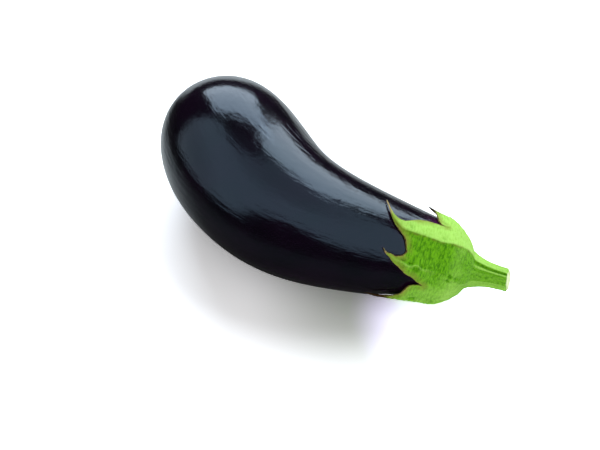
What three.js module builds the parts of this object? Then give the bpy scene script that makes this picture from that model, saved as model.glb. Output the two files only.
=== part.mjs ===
// A whole eggplant with its green calyx and cut stem, lying on its side.
// Millimetres, +Z up, resting on z = 0. The fruit lies along X with the cut stem at +X, and the
// hollow side of its bend faces +Y. The origin is the middle of the base of its bounding box.
import * as THREE from "three";

// The axis of fruit and stem, from the blossom end to the cut end, as a cubic curve.
const AXIS = new THREE.CubicBezierCurve3(
  new THREE.Vector3(-98.5, 27.9, 42.5),
  new THREE.Vector3(-10.6, -23.7, 35.9),
  new THREE.Vector3(-17.8, -22.0, 40.4),
  new THREE.Vector3(102.0, 28.5, 15.6),
);
AXIS.arcLengthDivisions = 800;
const AXIS_LENGTH = AXIS.getLength();

// Stations are distances along the axis from the blossom end.
// The fruit is a slim cone, rounded at the blossom end into a bulb 80 across.
const CONE_RADIUS = 53.1;
const CONE_TAPER = 0.1775;
const BULB_LENGTH = 136.6;
const BULB_FULLNESS = 3.7;
const DIMPLE_DEPTH = 1.2;
const DIMPLE_RADIUS = 4.5;

// The shoulder closes the fruit under the calyx.
const SHOULDER_START = 178;
const SHOULDER_LENGTH = 14.5;
const SHOULDER_FULLNESS = 1.5;

// The calyx is a fleshy cap over the shoulder that narrows into the stem.
const GAP = 0.35;
const CAP_THICKNESS = 0.85;
const TIP_THICKNESS = 0.65;
const CAP_START = 179.7;
const CAP_LENGTH = 16.9;
const CAP_FULLNESS = 1.4;
const COLLAR_STATION = 199;
const SEPALS_START = 182;
const RIB_HEIGHT = 1.6;
const RIB_SHARPNESS = 1.4;
const RIB_SWINGS_FROM = 176;
const RIB_SWINGS_TO = 197;

// The stem thins from its foot, which sinks into the cap, to the cut end, which is cut aslant.
const STEM_RADIUS = 5.2;
const STEM_FLARE = 5.3;
const STEM_FLARING = 2.8;
const STEM_LENGTH = 24;
const STEM_RIB_HEIGHT = 1.1;
const STEM_SINKS_FROM = 194;
const STEM_SINKS_TO = 164;
const BLEND = 2.33;
const CUT_SLANT = 0.5;
const CUT_FACING = 68;
const CUT_CHAMFER = 0.5;
const CUT_EDGE = 0.92;

// The sepals in order round the stem. Angles are in degrees: 0 faces sideways to -Y and 90 faces up.
// rib and foot are the angles of the midrib on the sepal and of the rib that it becomes on the stem.
// tip is the station of the point. From the station bendFrom on, the point swings aside by turn, and
// it is lifted off the skin by lift.
// flanks gives the edge before and the edge after the midrib, each as the two middle control points
// of a curve from the tip to the notch: distance from the midrib, and distance from the tip.
const SEPALS = [
  { rib: 38, foot: 18, tip: 148, turn: 10, bendFrom: 164, lift: 1.0,
    flanks: [[0.3, 0.5, 0.6, 0.7], [0.22, 0.7, 0.4, 1.0]] },
  { rib: 75, foot: 87, tip: 144, turn: 28, bendFrom: 156, lift: 1.0,
    flanks: [[0.36, 0.85, 0, 0.75], [0.62, 0.65, 0.82, 0.4]] },
  { rib: 128, foot: 127, tip: 167, turn: 6, bendFrom: 174, lift: 2.2,
    flanks: [[0.04, 0.8, 1, 0.3], [0.03, 1.0, 0.3, 1.0]] },
  { rib: 183, foot: 178, tip: 149, turn: -12, bendFrom: 164, lift: 0.5,
    flanks: [[0.2, 0.6, 0.7, 0.7], [0.3, 0.7, 0.4, 0.8]] },
  { rib: 236, foot: 229, tip: 146, turn: 14, bendFrom: 160, lift: 0.2,
    flanks: [[0.2, 0.7, 0.3, 0.9], [0.4, 0.6, 0.7, 0.5]] },
  { rib: 290, foot: 281, tip: 152, turn: -10, bendFrom: 165, lift: 0.2,
    flanks: [[0.3, 0.5, 0.8, 0.5], [0.1, 0.5, 0.6, 0.8]] },
  { rib: 343, foot: 332, tip: 147, turn: 3, bendFrom: 160, lift: 0.6,
    flanks: [[0.1, 0.6, 0.7, 0.6], [0.02, 1.12, 0.98, 0.36]] },
];

// How sharply the points swing aside, and how close to them the edges lift off and the ribs flatten.
const POINT_CURL = 2;
const LIFT_CURL = 3;

// The notch after each sepal: its angle and the station of its bottom.
const NOTCHES = [
  { angle: 53, station: 159.3 },
  { angle: 103, station: 176.6 },
  { angle: 155, station: 177 },
  { angle: 210, station: 174 },
  { angle: 264, station: 167 },
  { angle: 317, station: 172 },
  { angle: 374, station: 172 },
];

// Mesh density.
const FRUIT_COLUMNS = 60;
const FRUIT_ROWS = 34;
const SEPAL_COLUMNS = 10;
const STEM_ROWS = 6;
const CAP_ROWS = 7;
const SEPAL_ROWS = 8;
const INNER_SEPAL_ROWS = 8;
const INNER_CAP_ROWS = 8;
const CUT_ROWS = 2;

const FULL_TURN = 360;
const UP = new THREE.Vector3(0, 0, 1);
const radians = THREE.MathUtils.degToRad;
const mix = THREE.MathUtils.lerp;

// The point at a station, an angle in degrees and a radius, never below the surface it lies on.
function around(station, angle, radius) {
  const at = Math.min(station / AXIS_LENGTH, 1);
  const forward = AXIS.getTangentAt(at);
  const side = new THREE.Vector3().crossVectors(forward, UP).normalize();
  const above = new THREE.Vector3().crossVectors(side, forward);
  const point = AXIS.getPointAt(at);
  point.addScaledVector(forward, station - at * AXIS_LENGTH);
  point.addScaledVector(side, radius * Math.cos(radians(angle)));
  point.addScaledVector(above, radius * Math.sin(radians(angle)));
  point.z = Math.max(point.z, 0);
  return point;
}

// A closed skin: a sphere's grid whose vertex at column and row is moved to place(column, row).
function skin(columns, rows, place) {
  const geometry = new THREE.SphereGeometry(1, columns, rows);
  const position = geometry.attributes.position;
  for (let index = 0; index < position.count; index++) {
    const column = (index % (columns + 1)) % columns;
    const row = Math.floor(index / (columns + 1));
    const point = place(column, row);
    position.setXYZ(index, point.x, point.y, point.z);
  }
  geometry.computeVertexNormals();
  return geometry;
}

const cone = (station) => CONE_RADIUS - CONE_TAPER * station;

// The share of its full radius that a rounded end still has, past the station where it starts.
function rounded(station, start, length, fullness) {
  const past = THREE.MathUtils.clamp((station - start) / length, 0, 1);
  return Math.sqrt(1 - past ** fullness);
}

function fruitRadius(station) {
  const bulb = rounded(BULB_LENGTH - station, 0, BULB_LENGTH, BULB_FULLNESS);
  return cone(station) * bulb * rounded(station, SHOULDER_START, SHOULDER_LENGTH, SHOULDER_FULLNESS);
}

function placeFruit(column, row) {
  const along = (1 - Math.cos((Math.PI * row) / FRUIT_ROWS)) / 2;
  const station = along * (SHOULDER_START + SHOULDER_LENGTH);
  const radius = fruitRadius(station);
  const dimple = station < BULB_LENGTH ? DIMPLE_DEPTH * Math.exp(-((radius / DIMPLE_RADIUS) ** 2)) : 0;
  return around(station + dimple, (FULL_TURN * column) / FRUIT_COLUMNS, radius);
}

// A column of the calyx: its sepal, how far it lies from the midrib at 0 towards the notch at 1, the
// angle of that notch, and the station where the column ends on the sepal's edge.
function columnOf(column) {
  const index = Math.floor(column / SEPAL_COLUMNS);
  const across = (2 * (column % SEPAL_COLUMNS)) / SEPAL_COLUMNS - 1;
  const sepal = SEPALS[index];
  const before = NOTCHES[(index + SEPALS.length - 1) % SEPALS.length];
  const notch = across < 0 ? before : NOTCHES[index];
  const [wide1, along1, wide2, along2] = sepal.flanks[across < 0 ? 0 : 1];
  const flank = new THREE.CubicBezierCurve(
    new THREE.Vector2(0, sepal.tip),
    new THREE.Vector2(wide1, mix(sepal.tip, notch.station, along1)),
    new THREE.Vector2(wide2, mix(sepal.tip, notch.station, along2)),
    new THREE.Vector2(1, notch.station),
  ).getPoint(Math.abs(across));
  const turnBack = across < 0 && index === 0 ? FULL_TURN : 0;
  return { sepal, aside: flank.x, notchAngle: notch.angle - turnBack, end: flank.y };
}

// The angle of a column at a station: the rib swings over to its place on the stem, and the sepal's
// point swings aside.
function columnAngle(line, station) {
  const { sepal, aside, notchAngle } = line;
  const onStem = THREE.MathUtils.smoothstep(station, RIB_SWINGS_FROM, RIB_SWINGS_TO);
  const rib = mix(sepal.rib, sepal.foot, onStem);
  const bent = THREE.MathUtils.clamp((sepal.bendFrom - station) / (sepal.bendFrom - sepal.tip), 0, 1);
  return mix(rib, notchAngle, aside) + sepal.turn * bent ** POINT_CURL * (1 - aside ** 2);
}

const ribOf = (line) => (1 - line.aside) ** RIB_SHARPNESS;

function stemRadius(station) {
  const fromCut = THREE.MathUtils.clamp((AXIS_LENGTH - station) / STEM_LENGTH, 0, 1);
  const shown = THREE.MathUtils.smoothstep(station, STEM_SINKS_TO, STEM_SINKS_FROM);
  return (STEM_RADIUS + STEM_FLARE * fromCut ** STEM_FLARING) * shown;
}

// The outside of the cap and stem, which run into each other.
function capRadius(line, station) {
  const close = rounded(station, CAP_START, CAP_LENGTH, CAP_FULLNESS);
  const cap = (cone(station) + GAP + CAP_THICKNESS) * close;
  const smooth = (cap ** BLEND + stemRadius(station) ** BLEND) ** (1 / BLEND);
  const onStem = THREE.MathUtils.smoothstep(station, SEPALS_START, COLLAR_STATION);
  return smooth + mix(RIB_HEIGHT, STEM_RIB_HEIGHT, onStem) * ribOf(line);
}

// How far the slanted cut takes the stem's end back at a radius.
function cutBack(line, radius) {
  return CUT_SLANT * radius * Math.cos(radians(columnAngle(line, AXIS_LENGTH) - CUT_FACING));
}

// The cut face. share is 0 in its middle and 1 on its edge.
function placeCut(line, share) {
  const radius = capRadius(line, AXIS_LENGTH) * share;
  return around(AXIS_LENGTH - cutBack(line, radius), columnAngle(line, AXIS_LENGTH), radius);
}

function placeStem(line, share) {
  const end = AXIS_LENGTH - CUT_CHAMFER - cutBack(line, capRadius(line, AXIS_LENGTH));
  const station = mix(end, COLLAR_STATION, share);
  return around(station, columnAngle(line, station), capRadius(line, station));
}

function placeCap(line, share) {
  const station = mix(SEPALS_START, COLLAR_STATION, Math.cos((share * Math.PI) / 2));
  return around(station, columnAngle(line, station), capRadius(line, station));
}

const liftOf = (line, share) => line.sepal.lift * share ** LIFT_CURL * (1 - line.aside) ** POINT_CURL;

function placeSepal(line, share) {
  const station = mix(SEPALS_START, line.end, share);
  const thin = mix(CAP_THICKNESS, TIP_THICKNESS, share) - CAP_THICKNESS;
  const flatter = RIB_HEIGHT * ribOf(line) * share ** LIFT_CURL;
  const radius = capRadius(line, station) + thin - flatter + liftOf(line, share);
  return around(station, columnAngle(line, station), radius);
}

// The inside lies a gap away from the fruit.
function placeSepalInside(line, share) {
  const station = mix(SEPALS_START, line.end, share);
  const radius = fruitRadius(station) + GAP + liftOf(line, share);
  return around(station, columnAngle(line, station), radius);
}

function placeCapInside(line, share) {
  const end = SHOULDER_START + SHOULDER_LENGTH + GAP;
  const station = mix(SEPALS_START, end, Math.sin((share * Math.PI) / 2));
  const close = rounded(station, SHOULDER_START, end - SHOULDER_START, SHOULDER_FULLNESS);
  return around(station, columnAngle(line, station), (cone(station) + GAP) * close);
}

// The rows of the calyx's skin: from the middle of its inside down to the edges of the sepals, round
// them, and back up the outside to the middle of the cut face.
const CALYX_ROWS = [];

function addRows(count, from, to, place) {
  for (let row = 0; row < count; row++) {
    CALYX_ROWS.push((line) => place(line, mix(from, to, row / count)));
  }
}
addRows(INNER_CAP_ROWS, 1, 0, placeCapInside);
addRows(INNER_SEPAL_ROWS, 0, 1, placeSepalInside);
addRows(1, 1, 1, placeSepalInside);
addRows(SEPAL_ROWS, 1, 0, placeSepal);
addRows(CAP_ROWS, 1, 0, placeCap);
addRows(STEM_ROWS, 1, 0, placeStem);
addRows(1, 0, 0, placeStem);
addRows(CUT_ROWS, CUT_EDGE, 0, placeCut);
addRows(1, 0, 0, placeCut);

const placeCalyx = (column, row) => CALYX_ROWS[row](columnOf(column));

function piece(name, geometry, material) {
  const mesh = new THREE.Mesh(geometry, new THREE.MeshStandardMaterial(material));
  mesh.name = name;
  return mesh;
}

const eggplant = new THREE.Group();
eggplant.add(
  piece("fruit", skin(FRUIT_COLUMNS, FRUIT_ROWS, placeFruit), {
    color: 0x17101d,
    roughness: 0.2,
    metalness: 0,
  }),
);
eggplant.add(
  piece("calyx_and_stem", skin(SEPALS.length * SEPAL_COLUMNS, CALYX_ROWS.length - 1, placeCalyx), {
    color: 0x6fae3a,
    roughness: 0.75,
    metalness: 0,
  }),
);

export default eggplant;
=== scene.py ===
import bisect
import math
import random

import bmesh
import bpy
from mathutils import Matrix, Vector, kdtree, noise


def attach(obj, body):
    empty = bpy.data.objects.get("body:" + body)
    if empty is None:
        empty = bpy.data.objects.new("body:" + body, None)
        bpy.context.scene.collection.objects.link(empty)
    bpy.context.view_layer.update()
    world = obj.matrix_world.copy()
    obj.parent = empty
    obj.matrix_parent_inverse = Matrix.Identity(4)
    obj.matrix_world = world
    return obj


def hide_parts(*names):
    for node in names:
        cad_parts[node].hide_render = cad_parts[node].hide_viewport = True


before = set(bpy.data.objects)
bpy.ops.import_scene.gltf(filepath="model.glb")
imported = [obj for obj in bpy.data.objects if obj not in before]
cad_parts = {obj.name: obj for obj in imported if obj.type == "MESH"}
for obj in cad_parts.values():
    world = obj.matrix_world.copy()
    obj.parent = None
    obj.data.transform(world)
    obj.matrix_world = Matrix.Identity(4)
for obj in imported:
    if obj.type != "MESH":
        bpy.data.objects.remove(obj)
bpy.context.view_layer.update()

MM = 0.001
FULL_TURN = 360
UP = Vector((0, 0, 1))

# ---- Driving sizes, in millimetres and degrees ----
# The shapes are the solid model's, apart from RIB_SHARPNESS, TIP_THICKNESS and the points of the first
# two sepals. The meshes are finer.

# The axis of fruit and stem, from the blossom end to the cut end, as a cubic curve.
AXIS_POINTS = (
    Vector((-98.5, 27.9, 42.5)),
    Vector((-10.6, -23.7, 35.9)),
    Vector((-17.8, -22.0, 40.4)),
    Vector((102.0, 28.5, 15.6)),
)
AXIS_STEPS = 800

# Stations are distances along the axis from the blossom end.
CONE_RADIUS = 53.1
CONE_TAPER = 0.1775
BULB_LENGTH = 136.6
BULB_FULLNESS = 3.7
DIMPLE_DEPTH = 1.2
DIMPLE_RADIUS = 4.5
SHOULDER_START = 178
SHOULDER_LENGTH = 14.5
SHOULDER_FULLNESS = 1.5

GAP = 0.35
CAP_THICKNESS = 0.85
TIP_THICKNESS = 0.5
CAP_START = 179.7
CAP_LENGTH = 16.9
CAP_FULLNESS = 1.4
COLLAR_STATION = 199
SEPALS_START = 182
RIB_HEIGHT = 1.6
RIB_SHARPNESS = 1.9
RIB_SWINGS_FROM = 176
RIB_SWINGS_TO = 197

STEM_RADIUS = 5.2
STEM_FLARE = 5.3
STEM_FLARING = 2.8
STEM_LENGTH = 24
STEM_RIB_HEIGHT = 1.1
STEM_SINKS_FROM = 194
STEM_SINKS_TO = 164
BLEND = 2.33
LIFT_CURL = 3
LIFT_NARROWING = 2
CUT_SLANT = 0.5
CUT_FACING = 68
CUT_CHAMFER = 0.5
CUT_EDGE = 0.92

# The sepals in order round the stem. Angles are in degrees: 0 faces sideways to -Y and 90 faces up.
# rib and foot: the angles of the midrib on the sepal and of the rib that it becomes on the stem.
# tip: the station of the point. turn, bend_from and curl: how far the point swings aside, from which
# station on, and how sharply. hook: how far its very tip swings on. lift: how far it stands off the skin.
# dry and dark: how far back from the point it has dried, and how brown that part is.
# knobs and crest: how knobbly the midrib is, and how pale.
# bruise: how browned the felt is beside the midrib. furrow: how deep the furrow on the stem is.
# pale and stem: how pale the halves before and after the midrib are, on the sepal and on the stem. This
# is painted light and shade: halves on top, and the underside that the floor lights, are paler, and
# halves in shade are deep green.
# flanks: the edges before and after the midrib, each as the two middle control points of a curve from
# the tip to the notch: distance from the midrib, and distance from the tip.
SEPALS = (
    dict(rib=38, foot=18, tip=148, turn=7, bend_from=164, curl=1.3, hook=5, lift=1.0, dry=3, dark=0.35,
         knobs=1, crest=0.45, bruise=0.2, furrow=0.6, pale=(0.16, 0.05), stem=(0.8, 0.22),
         flanks=((0.3, 0.5, 0.6, 0.7), (0.22, 0.7, 0.4, 1.0))),
    dict(rib=75, foot=87, tip=144, turn=28, bend_from=156, curl=2, hook=0, lift=0.5, dry=5, dark=0.1,
         knobs=0.25, crest=0, bruise=0.9, furrow=1, pale=(0.02, 0.9), stem=(0.1, 1.0),
         flanks=((0.36, 0.85, 0, 0.75), (0.62, 0.65, 0.82, 0.4))),
    dict(rib=128, foot=127, tip=167, turn=6, bend_from=174, curl=2, hook=0, lift=2.2, dry=6, dark=1,
         knobs=0.3, crest=0.1, bruise=0, furrow=0.1, pale=(0.9, 0.8), stem=(1.0, 0.9),
         flanks=((0.04, 0.8, 1, 0.3), (0.03, 1.0, 0.3, 1.0))),
    dict(rib=183, foot=178, tip=149, turn=-12, bend_from=164, curl=2, hook=0, lift=0.5, dry=3, dark=0.6,
         knobs=0.6, crest=0.3, bruise=0.3, furrow=0.6, pale=(0.7, 0.5), stem=(0.7, 0.6),
         flanks=((0.2, 0.6, 0.7, 0.7), (0.3, 0.7, 0.4, 0.8))),
    dict(rib=236, foot=229, tip=146, turn=14, bend_from=160, curl=2, hook=0, lift=0.2, dry=5, dark=0.8,
         knobs=0.3, crest=0.4, bruise=0.2, furrow=0.8, pale=(0.4, 0.4), stem=(0.5, 0.5),
         flanks=((0.2, 0.7, 0.3, 0.9), (0.4, 0.6, 0.7, 0.5))),
    dict(rib=290, foot=281, tip=152, turn=-10, bend_from=165, curl=2, hook=0, lift=0.2, dry=4, dark=0.7,
         knobs=0.4, crest=0.4, bruise=0.2, furrow=0.5, pale=(0.3, 0.6), stem=(0.5, 0.6),
         flanks=((0.3, 0.5, 0.8, 0.5), (0.1, 0.5, 0.6, 0.8))),
    dict(rib=343, foot=332, tip=147, turn=3, bend_from=160, curl=2, hook=0, lift=0.6, dry=19, dark=1,
         knobs=0.5, crest=0.2, bruise=0.1, furrow=0.5, pale=(0.95, 0.4), stem=(0.9, 0.5),
         flanks=((0.1, 0.6, 0.7, 0.6), (0.02, 1.12, 0.98, 0.36))),
)

# The notch after each sepal: its angle and the station of its bottom.
NOTCHES = (
    dict(angle=53, station=159.3),
    dict(angle=103, station=176.6),
    dict(angle=155, station=177),
    dict(angle=210, station=174),
    dict(angle=264, station=167),
    dict(angle=317, station=172),
    dict(angle=374, station=172),
)

# Mesh density.
FRUIT_COLUMNS = 256
FRUIT_ROWS = 150
SEPAL_COLUMNS = 44
STEM_ROWS = 30
CAP_ROWS = 20
SEPAL_ROWS = 44
RIM_ROWS = 4
INNER_SEPAL_ROWS = 16
INNER_CAP_ROWS = 10
CUT_ROWS = 14


# ---- Shape ----

def mix(low, high, share):
    return low + (high - low) * share


def clamp(value, low=0.0, high=1.0):
    return min(max(value, low), high)


def smoothstep(value, low, high):
    share = clamp((value - low) / (high - low))
    return share * share * (3 - 2 * share)


def bell(distance):
    """1 at no distance, falling smoothly to nothing. The distance is in widths."""
    return math.exp(-(distance**2))


class Axis:
    """The cubic curve that the plant grew along, measured by the distance along it."""

    def __init__(self, controls, steps):
        self.controls = controls
        self.steps = steps
        self.lengths = [0.0]
        last = self.point(0)
        for step in range(1, steps + 1):
            point = self.point(step / steps)
            self.lengths.append(self.lengths[-1] + (point - last).length)
            last = point
        self.length = self.lengths[-1]

    def point(self, t):
        a, b, c, d = self.controls
        s = 1 - t
        return a * s**3 + b * (3 * s * s * t) + c * (3 * s * t * t) + d * t**3

    def slope(self, t):
        a, b, c, d = self.controls
        s = 1 - t
        return ((b - a) * (s * s) + (c - b) * (2 * s * t) + (d - c) * (t * t)).normalized()

    def parameter(self, station):
        step = clamp(bisect.bisect_right(self.lengths, station) - 1, 0, self.steps - 1)
        start, end = self.lengths[step], self.lengths[step + 1]
        return (step + (station - start) / (end - start)) / self.steps


AXIS = Axis(AXIS_POINTS, AXIS_STEPS)


def around(station, angle, radius):
    """The point at a station, an angle in degrees and a radius, never below the surface it lies on."""
    reach = clamp(station, 0, AXIS.length)
    t = AXIS.parameter(reach)
    forward = AXIS.slope(t)
    side = forward.cross(UP).normalized()
    above = side.cross(forward)
    turn = math.radians(angle)
    point = AXIS.point(t) + forward * (station - reach)
    point += side * (radius * math.cos(turn)) + above * (radius * math.sin(turn))
    point.z = max(point.z, 0)
    return point


def grown(station, angle, width):
    """The place on the plant as if it had grown straight, which patterns follow without a seam."""
    turn = math.radians(angle)
    return Vector((width * math.cos(turn), width * math.sin(turn), station))


def cone(station):
    return CONE_RADIUS - CONE_TAPER * station


def rounded(station, start, length, fullness):
    """The share of its full radius that a rounded end still has, past the station where it starts."""
    past = clamp((station - start) / length)
    return math.sqrt(1 - past**fullness)


def fruit_radius(station):
    bulb = rounded(BULB_LENGTH - station, 0, BULB_LENGTH, BULB_FULLNESS)
    return cone(station) * bulb * rounded(station, SHOULDER_START, SHOULDER_LENGTH, SHOULDER_FULLNESS)


def new_piece(name, mesh_maker):
    """An object in the part's frame, whose mesh mesh_maker fills in millimetres."""
    mesh = bpy.data.meshes.new(name)
    shape = bmesh.new()
    mesh_maker(shape)
    bmesh.ops.scale(shape, vec=(MM, MM, MM), verts=shape.verts)
    shape.to_mesh(mesh)
    shape.free()
    mesh.polygons.foreach_set("use_smooth", [True] * len(mesh.polygons))
    piece = bpy.data.objects.new(name, mesh)
    bpy.context.scene.collection.objects.link(piece)
    return piece


def new_layers(shape, *names):
    """The values that the vertices carry to the materials, by name, with their place on the plant."""
    layers = {"grown": shape.verts.layers.float_vector.new("grown")}
    for name in names:
        layers[name] = shape.verts.layers.float.new(name)
    return layers


def set_values(vertex, layers, **values):
    for name, value in values.items():
        vertex[layers[name]] = value


def make_grid(shape, columns, rows):
    """A unit sphere's grid. Its faces come in a new order each run, which the hairs would follow, so
    they are sorted by their corners."""
    bmesh.ops.create_uvsphere(shape, u_segments=columns, v_segments=rows, radius=1)
    shape.verts.index_update()
    count = len(shape.verts)

    def corners(face):
        first, second, third = (corner.index for corner in face.verts[:3])
        return (first * count + second) * count + third

    shape.faces.sort(key=corners)


def grid_of(vertex, columns, rows):
    """The column and row of a vertex of a unit sphere's grid."""
    turn = math.atan2(vertex.co.y, vertex.co.x) / math.tau % 1
    along = math.acos(clamp(vertex.co.z, -1, 1)) / math.pi
    return round(turn * columns) % columns, round(along * rows)


# How wide the straightened plant is that the patterns lie on, and a distance that means nowhere near.
PATTERN_WIDTH = 30
FAR_OFF = BULB_LENGTH


# ---- Fruit ----

# Broad lumps on the bulb, and a shallow tuck under the neck.
LUMP_SIZE = 38
LUMP_HEIGHT = 0.35
LUMPS_END = (130, 160)
TUCK_ANGLE = -35
TUCK_DEPTH = 1.2
TUCK_ALONG = (147, 160)

# A reddish patch beside the calyx, and the skin that sinks a little along the calyx.
BLUSH_ANGLE = 101
BLUSH_STATION = 176
BLUSH_SIZE = 7
SINK_DEPTH = 0.2
SINK_WIDTH = 3.2

# Fine folds on the hollow side of the bend.
PUCKER_STATION = 82
PUCKER_LENGTH = 20
PUCKER_ANGLE = 133
PUCKER_TURN = 14


def fruit_place(column, row):
    along = (1 - math.cos(math.pi * row / FRUIT_ROWS)) / 2
    return along * (SHOULDER_START + SHOULDER_LENGTH), FULL_TURN * column / FRUIT_COLUMNS


def make_fruit(shape):
    layers = new_layers(shape, "scar", "blush", "pucker", "calyx_distance")
    make_grid(shape, FRUIT_COLUMNS, FRUIT_ROWS)
    for vertex in shape.verts:
        station, angle = fruit_place(*grid_of(vertex, FRUIT_COLUMNS, FRUIT_ROWS))
        radius = fruit_radius(station)
        on_bulb = station < BULB_LENGTH
        dimple = DIMPLE_DEPTH * (bell(radius / DIMPLE_RADIUS) if on_bulb else 0)
        lump = noise.noise(grown(station, angle, radius) / LUMP_SIZE)
        lump *= LUMP_HEIGHT * (1 - smoothstep(station, *LUMPS_END)) * min(1, radius / LUMP_SIZE)
        facing = math.radians(angle - TUCK_ANGLE)
        lump -= TUCK_DEPTH * smoothstep(station, *TUCK_ALONG) * max(0, math.cos(facing)) ** 2
        edge = OUTLINE.find(around(station, angle, radius))[2]
        lump -= SINK_DEPTH * (1 - smoothstep(edge, 0, SINK_WIDTH))
        vertex.co = around(station + dimple, angle, radius + lump)
        blush = math.hypot(math.radians(angle - BLUSH_ANGLE) * radius, station - BLUSH_STATION)
        pucker = math.hypot((station - PUCKER_STATION) / PUCKER_LENGTH, (angle - PUCKER_ANGLE) / PUCKER_TURN)
        set_values(
            vertex, layers,
            grown=grown(station, angle, PATTERN_WIDTH),
            scar=radius if on_bulb else FAR_OFF,
            blush=bell(blush / BLUSH_SIZE),
            pucker=bell(pucker),
            calyx_distance=edge,
        )


# ---- Calyx and stem ----

# Each rib stands over a furrow on the side of the sepal before it, with a low welt beyond the furrow.
# What lies aside is given as a share of the way from the midrib to the notch.
FURROW_DEPTH = 1.0
FURROW_ASIDE = 0.24
FURROW_WIDTH = 0.13
WELT_HEIGHT = 0.35
WELT_ASIDE = 0.6
WELT_WIDTH = 0.12
FURROWS_FORM = (193, 200)

# Wrinkles run across the sepals and cap, and fine grooves along the stem. They fade near the edges.
# Their numbers per millimetre are round the plant and along it. RIPPLES is the noise's roughness, the
# step between its octaves and how many octaves it has.
WRINKLE_HEIGHT = 0.3
WRINKLES_PER_MM = (0.16, 0.75)
GROOVE_HEIGHT = 0.16
GROOVES_PER_MM = (0.5, 0.06)
GROOVES_FORM = (SEPALS_START + 8, COLLAR_STATION + 3)
RIPPLES = (0.6, 2, 3)
RELIEF_FADES = 2

# Pits lie beside the knobbly midribs, which meander.
PIT_DEPTH = 1.3
PIT_ASIDE = 0.16
PIT_WIDTH = 0.1
PITS_PER_MM = 0.28
PITS_FORM = (0, 0.3)
MEANDER = 3.5
MEANDERS_PER_MM = 0.22
HOOK_SHARPNESS = 10

# How pale the calyx is: the crests of the midribs, a painted highlight on the ring of its shoulder and on
# the welts, and painted shade in the furrows. The ridge shades are where the paleness, painted light and
# shade, turns from one half of a sepal to the other, and at a notch it runs into the next sepal's.
CREST_WIDTH = 0.07
CREST_FADES = (166, 179)
SHOULDER_STATION = 187
SHOULDER_WIDTH = 5
SHOULDER_PAINTED_HIGHLIGHT = 0.28
WELT_PAINTED_HIGHLIGHT = 0.7
FURROW_PAINTED_SHADE = 1.6
RIDGE_SHADES = (-0.09, 0.03)
STEM_RIDGE_SHADES = (-0.15, -0.04)
STEM_SHADES_FORM = (SEPALS_START + 6, COLLAR_STATION)
NOTCH_SHARPNESS = 4

# Brown bruises beside the midribs.
BRUISE_ASIDE = 0.07
BRUISE_WIDTH = 0.055
BRUISES_PER_MM = 0.3
BRUISES_FORM = (-0.4, 0.3)
BRUISE_SEED = 7


def column_of(column):
    """A column's sepal, how far it lies from the midrib at 0 towards the notch at 1, the angle of
    that notch, the station where the column ends on the sepal's edge, and how it is marked."""
    index, step = divmod(column, SEPAL_COLUMNS)
    across = 2 * step / SEPAL_COLUMNS - 1
    sepal = SEPALS[index]
    before, after = SEPALS[index - 1], SEPALS[(index + 1) % len(SEPALS)]
    if across < 0:
        flank, notch, next_pale = sepal["flanks"][0], NOTCHES[index - 1], before["pale"][1]
    else:
        flank, notch, next_pale = sepal["flanks"][1], NOTCHES[index], after["pale"][0]
    wide1, along1, wide2, along2 = flank
    t = abs(across)
    s = 1 - t
    aside = 3 * s * s * t * wide1 + 3 * s * t * t * wide2 + t**3
    share = 3 * s * s * t * along1 + 3 * s * t * t * along2 + t**3
    side = math.copysign(aside, across)
    # The halves' paleness is painted light and shade, and it turns at the ridge.
    own_pale = mix(*sepal["pale"], smoothstep(side, *RIDGE_SHADES))
    return dict(
        sepal,
        aside=aside,
        notch=notch["angle"] - (FULL_TURN if across < 0 and index == 0 else 0),
        end=mix(sepal["tip"], notch["station"], share),
        pale=mix(own_pale, next_pale, clamp(aside, 0, 1) ** NOTCH_SHARPNESS / 2),
        stem=mix(*sepal["stem"], smoothstep(side, *STEM_RIDGE_SHADES)),
        furrow=sepal["furrow"] * bell((side + FURROW_ASIDE) / FURROW_WIDTH),
        welt=sepal["furrow"] * bell((side + WELT_ASIDE) / WELT_WIDTH),
        bruise=sepal["bruise"] * bell((side + BRUISE_ASIDE) / BRUISE_WIDTH),
    )


def column_angle(line, station):
    """The angle of a column at a station: the rib swings to its place on the stem, and the point aside."""
    on_stem = smoothstep(station, RIB_SWINGS_FROM, RIB_SWINGS_TO)
    rib = mix(line["rib"], line["foot"], on_stem)
    bent = clamp((line["bend_from"] - station) / (line["bend_from"] - line["tip"]))
    swing = line["turn"] * bent ** line["curl"] + line["hook"] * bent**HOOK_SHARPNESS
    meander = noise.noise(Vector((line["rib"], 0, station * MEANDERS_PER_MM)))
    swing += meander * MEANDER * line["knobs"] * (1 - on_stem)
    return mix(rib, line["notch"], line["aside"]) + swing * (1 - line["aside"] ** 2)


def rib_of(line):
    return (1 - line["aside"]) ** RIB_SHARPNESS


def pit_at(line, station):
    """How deep the calyx is pitted beside its knobbly midribs, from 0 to 1."""
    beside = bell((line["aside"] - PIT_ASIDE) / PIT_WIDTH)
    spot = smoothstep(noise.noise(Vector((line["rib"], line["notch"], station * PITS_PER_MM))), *PITS_FORM)
    return spot * beside * line["knobs"] * (1 - smoothstep(station, SEPALS_START, COLLAR_STATION))


def grooved(station):
    """How fully the stem's furrows and welts have formed at a station."""
    return smoothstep(station, *FURROWS_FORM)


def ripple(straight, station, per_mm_round, per_mm_along):
    """A noise that is stretched differently round the plant and along it."""
    place = Vector((straight.x * per_mm_round, straight.y * per_mm_round, station * per_mm_along))
    return noise.fractal(place, *RIPPLES)


def relief(line, station, angle):
    """How far the wrinkles, grooves, pits, furrows and welts move the calyx's skin outwards."""
    straight = grown(station, angle, PATTERN_WIDTH)
    wrinkle = ripple(straight, station, *WRINKLES_PER_MM)
    groove = ripple(straight, station, *GROOVES_PER_MM)
    fine = mix(wrinkle * WRINKLE_HEIGHT, groove * GROOVE_HEIGHT, smoothstep(station, *GROOVES_FORM))
    welt = (line["welt"] * WELT_HEIGHT - line["furrow"] * FURROW_DEPTH) * grooved(station)
    return fine - pit_at(line, station) * PIT_DEPTH + welt


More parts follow.
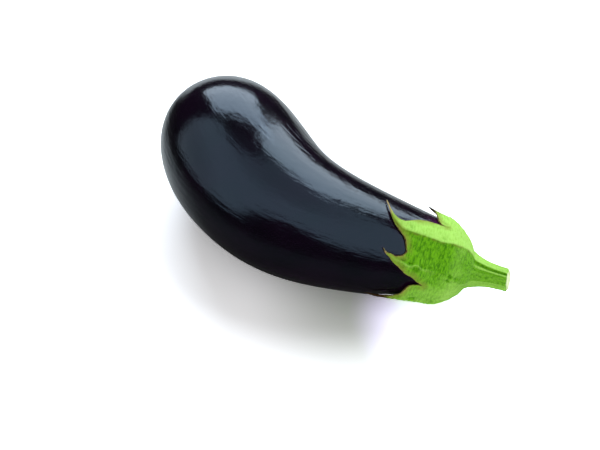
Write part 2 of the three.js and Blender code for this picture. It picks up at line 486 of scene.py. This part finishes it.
def stem_radius(station):
    from_cut = clamp((AXIS.length - station) / STEM_LENGTH)
    shown = smoothstep(station, STEM_SINKS_TO, STEM_SINKS_FROM)
    return (STEM_RADIUS + STEM_FLARE * from_cut**STEM_FLARING) * shown


def cap_radius(line, station):
    """The outside of the cap and stem, which run into each other."""
    close = rounded(station, CAP_START, CAP_LENGTH, CAP_FULLNESS)
    cap = (cone(station) + GAP + CAP_THICKNESS) * close
    smooth = (cap**BLEND + stem_radius(station) ** BLEND) ** (1 / BLEND)
    on_stem = smoothstep(station, SEPALS_START, COLLAR_STATION)
    return smooth + mix(RIB_HEIGHT, STEM_RIB_HEIGHT, on_stem) * rib_of(line)


def cut_back(line, radius):
    """How far the slanted cut takes the stem's end back at a radius."""
    facing = math.radians(column_angle(line, AXIS.length) - CUT_FACING)
    return CUT_SLANT * radius * math.cos(facing)


def place_cut(line, share):
    radius = cap_radius(line, AXIS.length) * share
    return AXIS.length - cut_back(line, radius), radius


def place_stem(line, share):
    end = AXIS.length - CUT_CHAMFER - cut_back(line, cap_radius(line, AXIS.length))
    station = mix(end, COLLAR_STATION, share)
    return station, cap_radius(line, station)


def place_cap(line, share):
    station = mix(SEPALS_START, COLLAR_STATION, math.cos(share * math.pi / 2))
    return station, cap_radius(line, station)


def lift_of(line, share):
    return line["lift"] * share**LIFT_CURL * (1 - line["aside"]) ** LIFT_NARROWING


def place_sepal(line, share):
    station = mix(SEPALS_START, line["end"], share)
    thin = mix(CAP_THICKNESS, TIP_THICKNESS, share) - CAP_THICKNESS
    flatter = RIB_HEIGHT * rib_of(line) * share**LIFT_CURL
    return station, cap_radius(line, station) + thin - flatter + lift_of(line, share)


def place_sepal_inside(line, share):
    station = mix(SEPALS_START, line["end"], share)
    return station, fruit_radius(station) + GAP + lift_of(line, share)


def place_rim(line, share):
    """The rounded edge, from the inside at 0 to the outside at 1."""
    station, inner = place_sepal_inside(line, 1)
    outer = place_sepal(line, 1)[1]
    half = (outer - inner) / 2
    turn = math.pi * share
    return station - half * math.sin(turn), inner + half * (1 - math.cos(turn))


def place_cap_inside(line, share):
    end = SHOULDER_START + SHOULDER_LENGTH + GAP
    station = mix(SEPALS_START, end, math.sin(share * math.pi / 2))
    close = rounded(station, SHOULDER_START, end - SHOULDER_START, SHOULDER_FULLNESS)
    return station, (cone(station) + GAP) * close


# The rows of the calyx's skin: from the middle of its inside down to the edges of the sepals, round
# them, and back up the outside to the middle of the cut face.
CALYX_ROWS = []


def add_rows(count, start, end, place):
    CALYX_ROWS.extend((place, mix(start, end, row / count)) for row in range(count))


add_rows(INNER_CAP_ROWS, 1, 0, place_cap_inside)
add_rows(INNER_SEPAL_ROWS, 0, 1, place_sepal_inside)
add_rows(RIM_ROWS, 0, 1, place_rim)
add_rows(SEPAL_ROWS, 1, 0, place_sepal)
add_rows(CAP_ROWS, 1, 0, place_cap)
add_rows(STEM_ROWS, 1, 0, place_stem)
add_rows(1, 0, 0, place_stem)
add_rows(CUT_ROWS, CUT_EDGE, 0, place_cut)
add_rows(1, 0, 0, place_cut)

OUTSIDE = (place_sepal, place_cap, place_stem)
CALYX_COLUMNS = len(SEPALS) * SEPAL_COLUMNS
LINES = [column_of(column) for column in range(CALYX_COLUMNS)]


def outline():
    """A search tree of the sepals' edges, in millimetres."""
    tree = kdtree.KDTree(CALYX_COLUMNS)
    for number, line in enumerate(LINES):
        station, radius = place_sepal(line, 1)
        tree.insert(around(station, column_angle(line, station), radius), number)
    tree.balance()
    return tree


OUTLINE = outline()


def paleness_with_painted_light(line, station, on_stem):
    """How pale the felt is, where 0 is deep green and 1 is pale green. It carries painted light and shade:
    paler halves in the light, painted highlights on the shoulder and welts, painted shade in pits and
    furrows.
    """
    crest = line["crest"] * bell(line["aside"] / CREST_WIDTH)
    crest *= 1 - smoothstep(station, *CREST_FADES)
    shoulder = SHOULDER_PAINTED_HIGHLIGHT * bell((station - SHOULDER_STATION) / SHOULDER_WIDTH)
    pale = mix(line["pale"], line["stem"], on_stem) + crest + shoulder - pit_at(line, station)
    return pale + grooved(station) * (WELT_PAINTED_HIGHLIGHT * line["welt"] - FURROW_PAINTED_SHADE * line["furrow"])


def make_calyx(shape):
    layers = new_layers(shape, "bruise", "rim", "cut", "felt", "dry", "dark", "pale")
    make_grid(shape, CALYX_COLUMNS, len(CALYX_ROWS) - 1)
    for vertex in shape.verts:
        column, row = grid_of(vertex, CALYX_COLUMNS, len(CALYX_ROWS) - 1)
        line = LINES[column]
        place, share = CALYX_ROWS[row]
        station, radius = place(line, share)
        angle = column_angle(line, station)
        outside = 1 if place in OUTSIDE else 0
        from_edge = smoothstep(abs(station - line["end"]), 0, RELIEF_FADES)
        radius += outside * from_edge * relief(line, station, angle)
        vertex.co = around(station, angle, radius)
        on_stem = smoothstep(station, *STEM_SHADES_FORM)
        spots = noise.noise(Vector((line["rib"], BRUISE_SEED, station * BRUISES_PER_MM)))
        set_values(
            vertex, layers,
            grown=grown(station, angle, PATTERN_WIDTH),
            felt=outside,
            pale=paleness_with_painted_light(line, station, on_stem),
            bruise=line["bruise"] * smoothstep(spots, *BRUISES_FORM) * (1 - on_stem),
            dark=line["dark"],
            dry=clamp(1 - (station - line["tip"]) / line["dry"]) if station < SEPALS_START else 0,
            rim=OUTLINE.find(vertex.co)[2],
            cut=radius if place is place_cut else FAR_OFF,
        )


# The hairs are made in a row, by doubling one of them, and each is then moved to its place.
HAIR_DOUBLINGS = 13
HAIR_SPACING = 4
HAIR_SIDES = 3
HAIR_RADIUS = 0.03
HAIR_LENGTHS = (0.2, 0.5)
HAIR_LEAN = 0.35
HAIR_SEED = 7


def make_fuzz(shape, skin, rng):
    """Short stiff hairs that stand on the felted outside of the calyx and stem."""
    base = Matrix.Translation((0, 0, 0.5))
    bmesh.ops.create_cone(
        shape, cap_ends=True, segments=HAIR_SIDES, radius1=1, radius2=0, depth=1, matrix=base)
    for doubling in range(HAIR_DOUBLINGS):
        hairs_so_far = shape.verts[:] + shape.edges[:] + shape.faces[:]
        copies = bmesh.ops.duplicate(shape, geom=hairs_so_far)["geom"]
        moved = [part for part in copies if isinstance(part, bmesh.types.BMVert)]
        bmesh.ops.translate(shape, vec=(HAIR_SPACING * 2**doubling, 0, 0), verts=moved)
    felt = skin.attributes["felt"].data
    faces = [face for face in skin.polygons if min(felt[v].value for v in face.vertices) > 0]
    hairs = []
    for face in rng.choices(faces, [face.area for face in faces], k=2**HAIR_DOUBLINGS):
        spots = [skin.vertices[v].co / MM for v in face.vertices]
        low, high = spots[0].lerp(spots[1], rng.random()), spots[3].lerp(spots[2], rng.random())
        lean = Vector(rng.gauss(0, HAIR_LEAN) for _ in range(3))
        turned = (face.normal + lean).to_track_quat("Z", "Y").to_matrix().to_4x4()
        size = Matrix.Diagonal((HAIR_RADIUS, HAIR_RADIUS, rng.uniform(*HAIR_LENGTHS), 1))
        hairs.append(Matrix.Translation(low.lerp(high, rng.random())) @ turned @ size)
    for vertex in shape.verts:
        number = round(vertex.co.x / HAIR_SPACING)
        vertex.co = hairs[number] @ (vertex.co - Vector((number * HAIR_SPACING, 0, 0)))
        vertex.co.z = max(vertex.co.z, 0)


# ---- Finishes ----

class Wire:
    """An output of a material's nodes. Arithmetic on it adds Math nodes."""

    def __init__(self, tree, socket=None):
        self.tree = tree
        self.socket = socket

    def node(self, kind, inputs=(), output=0, **settings):
        """A new node: its settings, and then what goes into its sockets."""
        added = self.tree.nodes.new(kind)
        for name, value in settings.items():
            setattr(added, name, value)
        for name, value in dict(inputs).items():
            if isinstance(value, Wire):
                self.tree.links.new(value.socket, added.inputs[name])
            else:
                added.inputs[name].default_value = value
        return Wire(self.tree, added.outputs[output])

    def maths(self, operation, *values):
        return self.node("ShaderNodeMath", dict(enumerate(values)), operation=operation)

    def __add__(self, other):
        return self.maths("ADD", self, other)

    def __sub__(self, other):
        return self.maths("SUBTRACT", self, other)

    def __rsub__(self, other):
        return self.maths("SUBTRACT", other, self)

    def __mul__(self, other):
        return self.maths("MULTIPLY", self, other)

    __radd__ = __add__
    __rmul__ = __mul__

    def between(self, low, high):
        """0 up to low, 1 from high on, and smooth between them."""
        inputs = {"Value": self, "From Min": low, "From Max": high}
        return self.node("ShaderNodeMapRange", inputs, interpolation_type="SMOOTHSTEP")

    def attribute(self, name, output="Fac"):
        return self.node("ShaderNodeAttribute", output=output, attribute_name=name)

    def stretched(self, scale):
        """A vector with each of its parts multiplied."""
        return self.node("ShaderNodeVectorMath", {0: self, 1: scale}, operation="MULTIPLY")

    def along(self, towards):
        """How far a vector reaches in a direction."""
        inputs = {0: self, 1: towards}
        return self.node("ShaderNodeVectorMath", inputs, output="Value", operation="DOT_PRODUCT")

    def distance_to(self, point):
        inputs = {0: self, 1: point}
        return self.node("ShaderNodeVectorMath", inputs, output="Value", operation="DISTANCE")

    def speckle(self, place, scale, detail=2, rough=0.5):
        """A cloudy noise from 0 to 1."""
        inputs = {"Vector": place, "Scale": scale, "Detail": detail, "Roughness": rough}
        return self.node("ShaderNodeTexNoise", inputs)

    def blend(self, share, first, second):
        """The first colour where share is 0, and the second where it is 1."""
        inputs = {0: share}
        for socket, colour in ((6, first), (7, second)):
            inputs[socket] = colour if isinstance(colour, Wire) else (*colour, 1)
        return self.node("ShaderNodeMix", inputs, output=2, data_type="RGBA")

    def bump(self, height, distance, under=None):
        """The normal of a relief, on top of the relief under it. The distance is in metres."""
        inputs = {"Height": height, "Distance": distance, "Strength": 1}
        if under:
            inputs["Normal"] = under
        return self.node("ShaderNodeBump", inputs)


def new_material(name, **surface):
    """A material, its nodes and its shader. surface gives the shader's even values, by socket."""
    material = bpy.data.materials.new(name)
    material.use_nodes = True
    shader = material.node_tree.nodes["Principled BSDF"]
    for socket, value in surface.items():
        shader.inputs[socket.replace("_", " ")].default_value = value
    return material, Wire(material.node_tree), shader


def connect(wire, shader, socket):
    wire.tree.links.new(wire.socket, shader.inputs[socket])


# In these settings a pair is a threshold: nothing up to its first value, and all from its second on.

SKIN_SHEEN = (0.6, 0.8, 1.0)
SKIN_DEEP = (0.0018, 0.001, 0.0027)
SKIN_PLUM = (0.0047, 0.0013, 0.0056)
SKIN_SHADED = (0.09, 0.008, 0.08)
SCAR_BROWN = (0.12, 0.07, 0.035)

# The noises on the skin, and how they are stretched along the fruit.
SKIN_CLOUDS = dict(scale=0.045, detail=3)
SKIN_STREAKS = dict(scale=0.55, detail=4, rough=0.6)
SKIN_BLOTCHES = dict(scale=0.3, detail=3, rough=0.55)
SKIN_FOLDS = dict(scale=0.75, detail=2, rough=0.4)
SKIN_GRAIN = dict(scale=3.5)
STREAK_STRETCH = (1, 1, 0.12)
BLOTCH_STRETCH = (1, 1, 0.5)
FOLD_STRETCH = (1, 1, 0.05)

PLUM_CLOUDS = (0.35, 0.7)
SHADED_NEAR_CALYX = 0.12
SHADED_STREAKS = (0.2, 0.6)
SCAR_EDGE = (1.6, 2.6)
SCAR_RAGGED = 1.2

SKIN_ROUGHNESS = 0.1
STREAK_ROUGHNESS = 0.05
GRAIN_ROUGHNESS = 0.03
SCAR_ROUGHNESS = 0.4

# The heights are shares of WAVE_DISTANCE.
WAVE_DISTANCE = 0.001
STREAK_HEIGHT = 0.14
BLOTCH_HEIGHT = 0.19
FOLD_HEIGHT = 0.6
GRAIN_DISTANCE = 0.000006


def fruit_skin():
    material, make, shader = new_material("fruit_skin", IOR=1.48, Specular_Tint=(*SKIN_SHEEN, 1))
    place = make.attribute("grown", "Vector")
    along = place.stretched(STREAK_STRETCH)
    cloud = make.speckle(place, **SKIN_CLOUDS)
    streak = make.speckle(along, **SKIN_STREAKS)
    grain = make.speckle(place, **SKIN_GRAIN)
    colour = make.blend(cloud.between(*PLUM_CLOUDS), SKIN_DEEP, SKIN_PLUM)
    near = 1 - make.attribute("calyx_distance").between(0, SINK_WIDTH)
    blush = make.attribute("blush") + near * SHADED_NEAR_CALYX
    colour = make.blend(blush * streak.between(*SHADED_STREAKS), colour, SKIN_SHADED)
    scar = 1 - (make.attribute("scar") + (grain - 0.5) * SCAR_RAGGED).between(*SCAR_EDGE)
    colour = make.blend(scar, colour, SCAR_BROWN)
    connect(colour, shader, "Base Color")
    dull = SKIN_ROUGHNESS + streak * STREAK_ROUGHNESS + grain * GRAIN_ROUGHNESS + scar * SCAR_ROUGHNESS
    connect(dull, shader, "Roughness")
    blotch = make.speckle(place.stretched(BLOTCH_STRETCH), **SKIN_BLOTCHES)
    folds = make.speckle(place.stretched(FOLD_STRETCH), **SKIN_FOLDS) * make.attribute("pucker")
    waves = make.bump(streak * STREAK_HEIGHT + blotch * BLOTCH_HEIGHT + folds * FOLD_HEIGHT, WAVE_DISTANCE)
    connect(make.bump(grain, GRAIN_DISTANCE, waves), shader, "Normal")
    return material


GREEN_DEEP = (0.05, 0.21, 0.0015)
GREEN_FRESH = (0.155, 0.46, 0.008)
GREEN_PALE = (0.4, 0.72, 0.13)
GREEN_OLIVE = (0.23, 0.31, 0.035)
RIM_OLIVE = (0.3, 0.25, 0.06)
BRUISE_BROWN = (0.15, 0.17, 0.02)
DRY_STRAW = (0.5, 0.38, 0.16)
DRY_BROWN = (0.045, 0.02, 0.008)
HAIR_PALE = (0.4, 0.62, 0.16)
FELT_SHEEN = (0.75, 1, 0.5)
CUT_CREAM = (0.9, 0.97, 0.6)
CUT_RING = (0.52, 0.7, 0.22)

# The felt's fibres run round the stem. The other noises are clouds, patches and grain.
FIBRE_STRETCH = (0.2, 0.2, 0.85)
FIBRES = dict(scale=1.5, detail=4, rough=0.68)
FELT_CLOUDS = dict(scale=0.16, detail=3)
FELT_GRAIN = dict(scale=2.4, detail=2, rough=0.7)
FELT_PATCHES = dict(scale=0.55, detail=3, rough=0.6)

# Deep green is broken up by fibres and patches, and pale green by fibres and clouds.
DEEP_FIBRES = 0.75
DEEP_PATCHES = 0.25
DEEP_TURNS = (0.38, 0.6)
LIGHT_TURNS = (0.1, 0.6)
PALE_CLOUDING = 0.4

# The calyx's edge turns olive, then brown, at these distances from it in millimetres.
RIM_PATCHES = 1.8
RIM_GRAIN = 0.6
OLIVE_SHARE = 0.75
OLIVE_REACH = (0.6, 4.5)
OLIVE_CLOUDS = (0.25, 0.55)
RIM_OLIVE_REACH = (0.1, 0.75)
RIM_BROWN_REACH = (0.0, 0.4)

BRUISE_PATCHES = (0.25, 0.6)
DRY_RAGGED = 0.5
DRY_EDGE = (0.15, 0.6)
DRY_STARTS = (0, 0.1)
HUSK_PATCHES = 0.6
HUSK_TURNS = (0.1, 0.7)

# The cut face is cream, with a broken green ring. These are distances from its middle in millimetres.
CUT_RING_INNER = (2.6, 4)
CUT_RING_OUTER = (4.4, 5.6)
CUT_RING_PATCHES = (0.3, 0.7)
CUT_FACE_ENDS = (6.5, 7.2)

FELT_ROUGHNESS = 0.5
FIBRE_ROUGHNESS = 0.2
FELT_GRAIN_DISTANCE = 0.00008
FIBRE_DISTANCE = 0.00028


def calyx_felt():
    material, make, shader = new_material("calyx_felt", Sheen_Weight=0.08, Sheen_Roughness=0.5, IOR=1.15,
                                          Sheen_Tint=(*FELT_SHEEN, 1))
    place = make.attribute("grown", "Vector")
    across = place.stretched(FIBRE_STRETCH)
    fibre = make.speckle(across, **FIBRES)
    pale = make.attribute("pale")
    cloud = make.speckle(place, **FELT_CLOUDS)
    grain = make.speckle(place, **FELT_GRAIN)
    patch = make.speckle(place, **FELT_PATCHES)
    rim = make.attribute("rim") + (patch - 0.5) * RIM_PATCHES + (grain - 0.5) * RIM_GRAIN
    dry = (make.attribute("dry") + (patch - 0.5) * DRY_RAGGED).between(*DRY_EDGE)
    dry = dry * make.attribute("dry").between(*DRY_STARTS)
    deep = (fibre * DEEP_FIBRES + patch * DEEP_PATCHES).between(*DEEP_TURNS)
    deep = make.blend(deep, GREEN_DEEP, GREEN_FRESH)
    light = make.blend(fibre.between(*LIGHT_TURNS), GREEN_FRESH, GREEN_PALE)
    # Paleness, which holds painted light and shade, turns deep green towards pale green.
    colour = make.blend((pale + (cloud - 0.5) * PALE_CLOUDING).between(0, 1), deep, light)
    olive = (1 - rim.between(*OLIVE_REACH)) * cloud.between(*OLIVE_CLOUDS) * OLIVE_SHARE
    colour = make.blend(olive, colour, GREEN_OLIVE)
    colour = make.blend(1 - rim.between(*RIM_OLIVE_REACH), colour, RIM_OLIVE)
    colour = make.blend(1 - rim.between(*RIM_BROWN_REACH), colour, DRY_BROWN)
    bruise = make.attribute("bruise") * patch.between(*BRUISE_PATCHES)
    colour = make.blend(bruise, colour, BRUISE_BROWN)
    brown = (make.attribute("dark") + (patch - 0.5) * HUSK_PATCHES).between(*HUSK_TURNS)
    husk = make.blend(brown, DRY_STRAW, DRY_BROWN)
    colour = make.blend(dry, colour, husk)
    cut = make.attribute("cut")
    ring = cut.between(*CUT_RING_INNER) * (1 - cut.between(*CUT_RING_OUTER))
    face = make.blend(ring * patch.between(*CUT_RING_PATCHES), CUT_CREAM, CUT_RING)
    colour = make.blend(1 - cut.between(*CUT_FACE_ENDS), colour, face)
    connect(colour, shader, "Base Color")
    connect(FELT_ROUGHNESS + fibre * FIBRE_ROUGHNESS, shader, "Roughness")
    felt = make.bump(grain, FELT_GRAIN_DISTANCE)
    connect(make.bump(fibre, FIBRE_DISTANCE, felt), shader, "Normal")
    return material


def hair_pale():
    return new_material("hair_pale", Base_Color=(*HAIR_PALE, 1), Roughness=0.6, IOR=1.4)[0]


# ---- Pieces ----

def dress(piece, material, slot, *nodes):
    """Puts a piece on the part: its finish and the solids that it replaces. The slot is not used."""
    piece.data.materials.append(material)
    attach(piece, "root")
    if nodes:
        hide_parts(*nodes)


fruit = new_piece("fruit_skin", make_fruit)
dress(fruit, fruit_skin(), "skin", "fruit")

calyx = new_piece("calyx_and_stem_felt", make_calyx)
dress(calyx, calyx_felt(), "calyx", "calyx_and_stem")

fuzz = new_piece("calyx_fuzz", lambda shape: make_fuzz(shape, calyx.data, random.Random(HAIR_SEED)))
dress(fuzz, hair_pale(), "calyx")


# ---- Floor, light and camera ----

def direction(azimuth, elevation):
    """A unit vector. Azimuth 0 is +Y and 90 is +X; elevation is above the horizon, in degrees."""
    turn, rise = math.radians(azimuth), math.radians(elevation)
    return Vector((math.sin(turn) * math.cos(rise), math.cos(turn) * math.cos(rise), math.sin(rise)))


# The floor has one colour for each kind of ray. Lengths are in metres, and thresholds on directions are
# cosines from them.
FLOOR_SIZE = 40
FLOOR_WHITE = (0.9, 0.9, 0.9)

# What the camera sees: white, with a spot of painted light beside the calyx that hides its shadow, a
# slight painted shadow below the neck, and full white far off.
FLOOR_SEEN = (1.75, 1.74, 1.77)
FLOOR_SEEN_PAINTED_SHADOW = (0.95, 0.99, 0.93)
FLOOR_PAINTED_SHADOW_AT = (0.035, -0.022, 0.0)
PAINTED_SHADOW_REACH = (0.0, 0.06)
FLOOR_SEEN_PAINTED_LIGHT = (3.2, 2.9, 4.2)
FLOOR_PAINTED_LIGHT_AT = (0.085, 0.0, 0.0)
PAINTED_LIGHT_REACH = (0.02, 0.055)
FLOOR_SEEN_FAR = (8, 8, 8)
FAR_REACH = (0.4, 1.5)

# What the skin mirrors: a pale floor with painted shade, dimmer in front where the shadow falls, that turns
# dark further off except on one side.
FLOOR_BOUNCE = (0.6, 0.63, 0.63)
FLOOR_BOUNCE_FRONT = (0.12, 0.125, 0.12)
BOUNCE_TOWARDS = direction(320, 0)
BOUNCE_COSINES = (-0.05, 0.6)
FLOOR_DARK = (0.03, 0.03, 0.03)
DARK_EXCEPT_TOWARDS = direction(311, 0)
DARK_COSINES = (0.9, 0.98)
DARK_REACH = (0.13, 0.34)


def make_floor():
    shape = bmesh.new()
    bmesh.ops.create_grid(shape, x_segments=1, y_segments=1, size=FLOOR_SIZE / 2)
    mesh = bpy.data.meshes.new("floor")
    shape.to_mesh(mesh)
    shape.free()
    floor = bpy.data.objects.new("floor", mesh)
    bpy.context.scene.collection.objects.link(floor)
    material, make, shader = new_material("floor_white", Roughness=1.0, IOR=1.0)
    place = make.node("ShaderNodeTexCoord", output="Object")
    away = make.node("ShaderNodeVectorMath", {0: place}, output="Value", operation="LENGTH")
    bearing = make.node("ShaderNodeVectorMath", {0: place}, operation="NORMALIZE")
    # The mirrored floor is painted with shade: dimmer in front, where the shadow falls, and dark further
    # off.
    lit = bearing.along(BOUNCE_TOWARDS).between(*BOUNCE_COSINES)
    near = make.blend(lit, FLOOR_BOUNCE_FRONT, FLOOR_BOUNCE)
    open_side = bearing.along(DARK_EXCEPT_TOWARDS).between(*DARK_COSINES)
    beyond = make.blend(open_side, FLOOR_DARK, FLOOR_BOUNCE)
    mirrored = make.blend(away.between(*DARK_REACH), near, beyond)
    colour = make.blend(make.node("ShaderNodeLightPath", output="Is Glossy Ray"), FLOOR_WHITE, mirrored)
    from_painted_light = place.distance_to(FLOOR_PAINTED_LIGHT_AT)
    from_painted_shadow = place.distance_to(FLOOR_PAINTED_SHADOW_AT)
    # A painted shadow below the neck.
    seen = make.blend(from_painted_shadow.between(*PAINTED_SHADOW_REACH), FLOOR_SEEN_PAINTED_SHADOW, FLOOR_SEEN)
    # A spot of painted light beside the calyx.
    seen = make.blend(from_painted_light.between(*PAINTED_LIGHT_REACH), FLOOR_SEEN_PAINTED_LIGHT, seen)
    seen = make.blend(away.between(*FAR_REACH), seen, FLOOR_SEEN_FAR)
    colour = make.blend(make.node("ShaderNodeLightPath", output="Is Camera Ray"), colour, seen)
    connect(colour, shader, "Base Color")
    floor.data.materials.append(material)


# What the skin mirrors of the room: a glow in front, above a slanted horizon, that is dimmer overhead.
ROOM_FRONT = direction(168, 21)
ROOM_FRONT_COSINES = (0.0, 0.09)
HORIZON_SLANT_TOWARDS = direction(120, 0)
HORIZON_SLANT = 0.25
HORIZON = (-0.05, 0.2)
ROOM_PALE = (1.1, 1.27, 1.43)
ROOM_PALE_OVERHEAD = (0.72, 0.84, 0.94)
OVERHEAD_COSINES = (0.8, 1)
ROOM_DARK = (0.02, 0.02, 0.025)

# The gaps in the glow: the middle of each, the cosines at its edge and where it is full, and how much
# of the glow it takes.
GAPS = (
    (direction(296, 65), (0.962, 0.988), 0.87),
    (direction(168, 5), (0.82, 0.93), 1),
    (direction(252, 2), (0.72, 0.95), 0.3),
)

# What lights dull surfaces: an even fill, brighter on the camera's side.
AMBIENT_FRONT = (0.7, 0.7, 0.7)
AMBIENT_BACK = (0.2, 0.2, 0.2)
AMBIENT_TOWARDS = direction(150, 0)
AMBIENT_COSINES = (-0.6, 1)
CAMERA_WHITE = (1, 1, 1)


def make_world():
    """Plain white to the camera, a studio in reflections, and an even fill for everything else."""
    world = bpy.data.worlds.new("studio")
    world.use_nodes = True
    make = Wire(world.node_tree)
    way = make.node("ShaderNodeTexCoord", output="Generated")
    front = way.along(ROOM_FRONT).between(*ROOM_FRONT_COSINES)
    height = way.along(UP) - way.along(HORIZON_SLANT_TOWARDS) * HORIZON_SLANT
    glow = front * height.between(*HORIZON)
    for middle, cosines, depth in GAPS:
        glow = glow * (1 - way.along(middle).between(*cosines) * depth)
    pale = make.blend(way.along(UP).between(*OVERHEAD_COSINES), ROOM_PALE, ROOM_PALE_OVERHEAD)
    mirrored = make.blend(glow, ROOM_DARK, pale)
    fill = make.blend(way.along(AMBIENT_TOWARDS).between(*AMBIENT_COSINES), AMBIENT_BACK, AMBIENT_FRONT)
    colour = make.blend(make.node("ShaderNodeLightPath", output="Is Glossy Ray"), fill, mirrored)
    colour = make.blend(make.node("ShaderNodeLightPath", output="Is Camera Ray"), colour, CAMERA_WHITE)
    connect(colour, world.node_tree.nodes["Background"], "Color")
    bpy.context.scene.world = world


COLD = (0.82, 0.91, 1.0)
COOL = (0.9, 0.96, 1.0)
WARM = (1.0, 0.98, 0.93)

# The rectangular soft lights, which all face the object. The fills don't show in reflections.
LIGHTS = (
    dict(name="key_left", azimuth=-41, elevation=37, distance=1.2, width=0.86, height=0.71,
         radiance=5.3, colour=COLD, mirrored=True),
    dict(name="key_right", azimuth=5, elevation=46.5, distance=1.2, width=0.62, height=1.09,
         radiance=5.6, colour=COOL, mirrored=True),
    dict(name="fill_right", azimuth=122, elevation=14, distance=1.2, width=0.9, height=0.7,
         radiance=1.6, colour=WARM, mirrored=False),
    dict(name="fill_low", azimuth=155, elevation=3, distance=0.9, width=0.9, height=0.3,
         radiance=2.0, colour=WARM, mirrored=False),
)


def make_panel(name, azimuth, elevation, distance, width, height, radiance, colour, mirrored):
    light = bpy.data.lights.new(name, "AREA")
    light.shape = "RECTANGLE"
    light.size = width
    light.size_y = height
    light.energy = radiance * width * height * math.pi
    light.color = colour
    lamp = bpy.data.objects.new(name, light)
    bpy.context.scene.collection.objects.link(lamp)
    towards = direction(azimuth, elevation)
    lamp.location = towards * distance
    lamp.rotation_euler = (-towards).to_track_quat("-Z", "Y").to_euler()
    lamp.visible_camera = False
    lamp.visible_glossy = mirrored


make_floor()
make_world()
for light in LIGHTS:
    make_panel(**light)

LENS = 50
SENSOR_WIDTH = 36
CAMERA_AZIMUTH = 34
CAMERA_ELEVATION = 50
CAMERA_DISTANCE = 0.4831
CAMERA_TARGET = Vector((-0.0174, 0.0096, 0))


def make_camera():
    data = bpy.data.cameras.new("camera")
    data.lens = LENS
    data.sensor_width = SENSOR_WIDTH
    camera = bpy.data.objects.new("camera", data)
    bpy.context.scene.collection.objects.link(camera)
    back = direction(180 - CAMERA_AZIMUTH, CAMERA_ELEVATION)
    camera.location = CAMERA_TARGET + back * CAMERA_DISTANCE
    camera.rotation_euler = (-back).to_track_quat("-Z", "Y").to_euler()
    bpy.context.scene.camera = camera


make_camera()
bpy.context.scene.view_settings.view_transform = "Standard"
